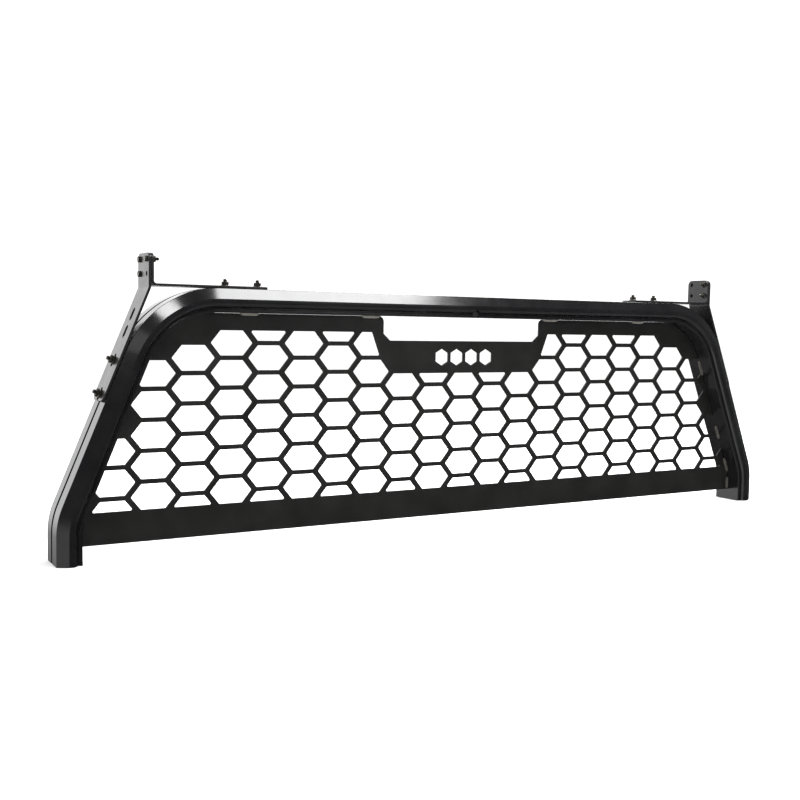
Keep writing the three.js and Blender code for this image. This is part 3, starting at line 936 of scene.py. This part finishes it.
SLOT_PLACES = {
    "rail_inner": on_rail(ARM_BOLTS[0]),
    "rail_outer": on_rail(ARM_BOLTS[1]),
    "leg_upper": on_leg(SIDE_BOLTS[0]),
    "leg_lower": on_leg(SIDE_BOLTS[1]),
}
TAB_PLACES = {
    "upper_front": on_tab(-TAB_HOLE_OFFSET, TAB_ROWS[1]),
    "upper_back": on_tab(TAB_HOLE_OFFSET, TAB_ROWS[1]),
    "lower_front": on_tab(-TAB_HOLE_OFFSET, TAB_ROWS[0]),
    "lower_back": on_tab(TAB_HOLE_OFFSET, TAB_ROWS[0]),
}
TAB_BOLTS = {
    "left": ("upper_front", "upper_back", "lower_back"),
    "right": ("upper_front", "lower_front"),
}
TWIST_STEP = 23  # so that no two hexes stand alike
NUT_TWIST = 31
twist = 0
for side_name, fitted in TAB_BOLTS.items():
    stop = f"load_stop_{side_name}"
    for where, place in SLOT_PLACES.items():
        body = stop if where.startswith("rail") else RACK
        twist += TWIST_STEP
        add_fastener(f"t_bolt_{where}", side_name, t_bolt_mesh(), place, 0, body)
        nut = flange_nut_mesh(M8, GAP + STRIP_THICK + GAP)
        add_fastener(f"flange_nut_{where}", side_name, nut, place, twist, body)
    for where in fitted:
        twist += TWIST_STEP
        place = TAB_PLACES[where]
        add_fastener(f"tab_bolt_{where}", side_name, tab_bolt_mesh(), place, twist, RACK)
        nut = flange_nut_mesh(M6, 2 * STRIP_THICK + 2 * GAP)
        nut.transform(Matrix.Rotation(math.pi, 4, "X"))
        add_fastener(f"tab_nut_{where}", side_name, nut, place, twist + NUT_TWIST, stop)

# ---- the grommet -----------------------------------------------------------------------------

GROMMET_BACK = -25
grommet = loft([
    (0, 6.2), (0.3, 6.8), (1, 7.1), (6.6, 7.1), (7.2, 6.9), (7.6, 6.4), (7.85, 5.4),
    (8, 4), (8, 3.2), (7.8, 2.7), (7.2, 2.4), (7.1, 1.6),
], 56)
place = Matrix.Translation((HOLE_X, GROMMET_BACK, HOLE_Z))
grommet.transform(place @ Matrix.Rotation(math.pi / 2, 4, "X"))
add_piece(
    "wire_hole_grommet_moulded", grommet, RUBBER, RACK,
    ["wire_hole_grommet"], sharp=40,
)

# ---- the studio ------------------------------------------------------------------------------


FLOOR_Z = -0.0006  # metres: just under the feet, so that the two don't flicker
SURROUND = 1.3  # strength of the white that the camera and the diffuse light see


def add_floor():
    """A wide pale floor, left out of the gloss so that it doesn't wash out the front faces."""
    half = 60  # metres
    mesh = bpy.data.meshes.new("floor")
    corners = [(-half, -half, 0), (half, -half, 0), (half, half, 0), (-half, half, 0)]
    mesh.from_pydata(corners, [], [(0, 1, 2, 3)])
    material = bpy.data.materials.new("pale_floor")
    material.use_nodes = True
    shader = material.node_tree.nodes["Principled BSDF"]
    shader.inputs["Base Color"].default_value = (0.92, 0.92, 0.92, 1)
    shader.inputs["Roughness"].default_value = 0.9
    shader.inputs["Specular IOR Level"].default_value = 0.1
    mesh.materials.append(material)
    floor = bpy.data.objects.new("floor", mesh)
    floor.location.z = FLOOR_Z
    floor.visible_glossy = False
    bpy.context.scene.collection.objects.link(floor)


def add_softbox(name, at, aim, size, radiance):
    """A rectangular soft light at a place, aimed at a point, in metres."""
    light = bpy.data.lights.new(name, "AREA")
    light.shape = "RECTANGLE"
    light.size, light.size_y = size
    light.energy = radiance * math.pi * size[0] * size[1]
    box = bpy.data.objects.new(name, light)
    box.location = at
    box.rotation_euler = (Vector(aim) - Vector(at)).to_track_quat("-Z", "Y").to_euler()
    box.visible_camera = False
    bpy.context.scene.collection.objects.link(box)


def add_world():
    """A white studio that the gloss sees as bright behind the rack and dark elsewhere.

    The gloss sees three lit parts: the backdrop ahead and above, the sweep of the floor in
    front, and a wall on the left.
    """
    world = bpy.data.worlds.new("studio")
    world.use_nodes = True
    bpy.context.scene.world = world
    nodes = world.node_tree.nodes
    links = world.node_tree.links
    place = nodes.new("ShaderNodeTexCoord")
    split = nodes.new("ShaderNodeSeparateXYZ")
    links.new(place.outputs["Generated"], split.inputs["Vector"])

    def ramp(axis, low, high, dark, bright):
        node = nodes.new("ShaderNodeMapRange")
        node.interpolation_type = "SMOOTHSTEP"
        node.inputs["From Min"].default_value = low
        node.inputs["From Max"].default_value = high
        node.inputs["To Min"].default_value = dark
        node.inputs["To Max"].default_value = bright
        links.new(split.outputs[axis], node.inputs["Value"])
        return node.outputs["Result"]

    def combine(operation, first, second):
        node = nodes.new("ShaderNodeMath")
        node.operation = operation
        links.new(first, node.inputs[0])
        links.new(second, node.inputs[1])
        return node.outputs["Value"]

    ahead = ramp("Y", 0.25, 0.85, 0.07, 1.95)
    above = ramp("Z", -0.3, 0.0, 0.04, 1.0)
    below = ramp("Z", -0.25, -0.6, 0.0, 0.28)
    near = ramp("Y", 0.25, -0.05, 0.0, 1.0)
    left = ramp("X", -0.45, -0.62, 0.0, 0.9)
    low = ramp("Z", 0.1, -0.15, 0.0, 1.0)
    backdrop = combine("MULTIPLY", ahead, above)
    sweep = combine("MULTIPLY", below, near)
    left_wall = combine("MULTIPLY", left, low)
    dome = combine("ADD", combine("ADD", backdrop, sweep), left_wall)
    rays = nodes.new("ShaderNodeLightPath")
    mix = nodes.new("ShaderNodeMix")
    mix.inputs["A"].default_value = SURROUND
    links.new(rays.outputs["Is Glossy Ray"], mix.inputs["Factor"])
    links.new(dome, mix.inputs["B"])
    links.new(mix.outputs["Result"], nodes["Background"].inputs["Strength"])
    nodes["Background"].inputs["Color"].default_value = (1, 1, 1, 1)


CAMERA_AT = Vector((-1.286, -1.899, 0.436))
CAMERA_YAW = math.radians(30.61)
CAMERA_PITCH = math.radians(-4.14)
CAMERA_ROLL = math.radians(1.03)


def add_camera():
    """The camera, turned right of +Y by its yaw, tipped down, and rolled a little."""
    camera = bpy.data.cameras.new("camera")
    camera.sensor_width = 36
    camera.lens = 47.68
    holder = bpy.data.objects.new("camera", camera)
    yaw = Matrix.Rotation(-CAMERA_YAW, 4, "Z")
    pitch = Matrix.Rotation(math.pi / 2 + CAMERA_PITCH, 4, "X")
    roll = Matrix.Rotation(CAMERA_ROLL, 4, "Z")
    holder.matrix_world = Matrix.Translation(CAMERA_AT) @ yaw @ pitch @ roll
    bpy.context.scene.collection.objects.link(holder)
    bpy.context.scene.camera = holder


SOFTBOXES = {
    # name: (at, aimed at, size, radiance)
    "overhead_rail": ((0.84, -1.32, 2.6), (0.84, -1.32, 0), (1.2, 0.7), 20),
    "overhead_corner": ((-1.2, -1.97, 2.6), (-1.2, -1.97, 0), (0.7, 0.5), 24),
    "front_fill": ((1.1, -2.65, 0.85), (-0.3, 0, 0.4), (0.9, 0.6), 1.6),
    "left_corner_fill": ((-2.0, -1.9, 1.5), (-0.7, 0, 0.45), (0.8, 0.6), 1.2),
    "edge_bar": ((1.6, 0.65, 2.6), (0.4, 0, 0.4), (2.6, 0.6), 40),
}
add_floor()
add_world()
for name, softbox in SOFTBOXES.items():
    add_softbox(name, *softbox)
add_camera()
bpy.context.scene.view_settings.view_transform = "Standard"
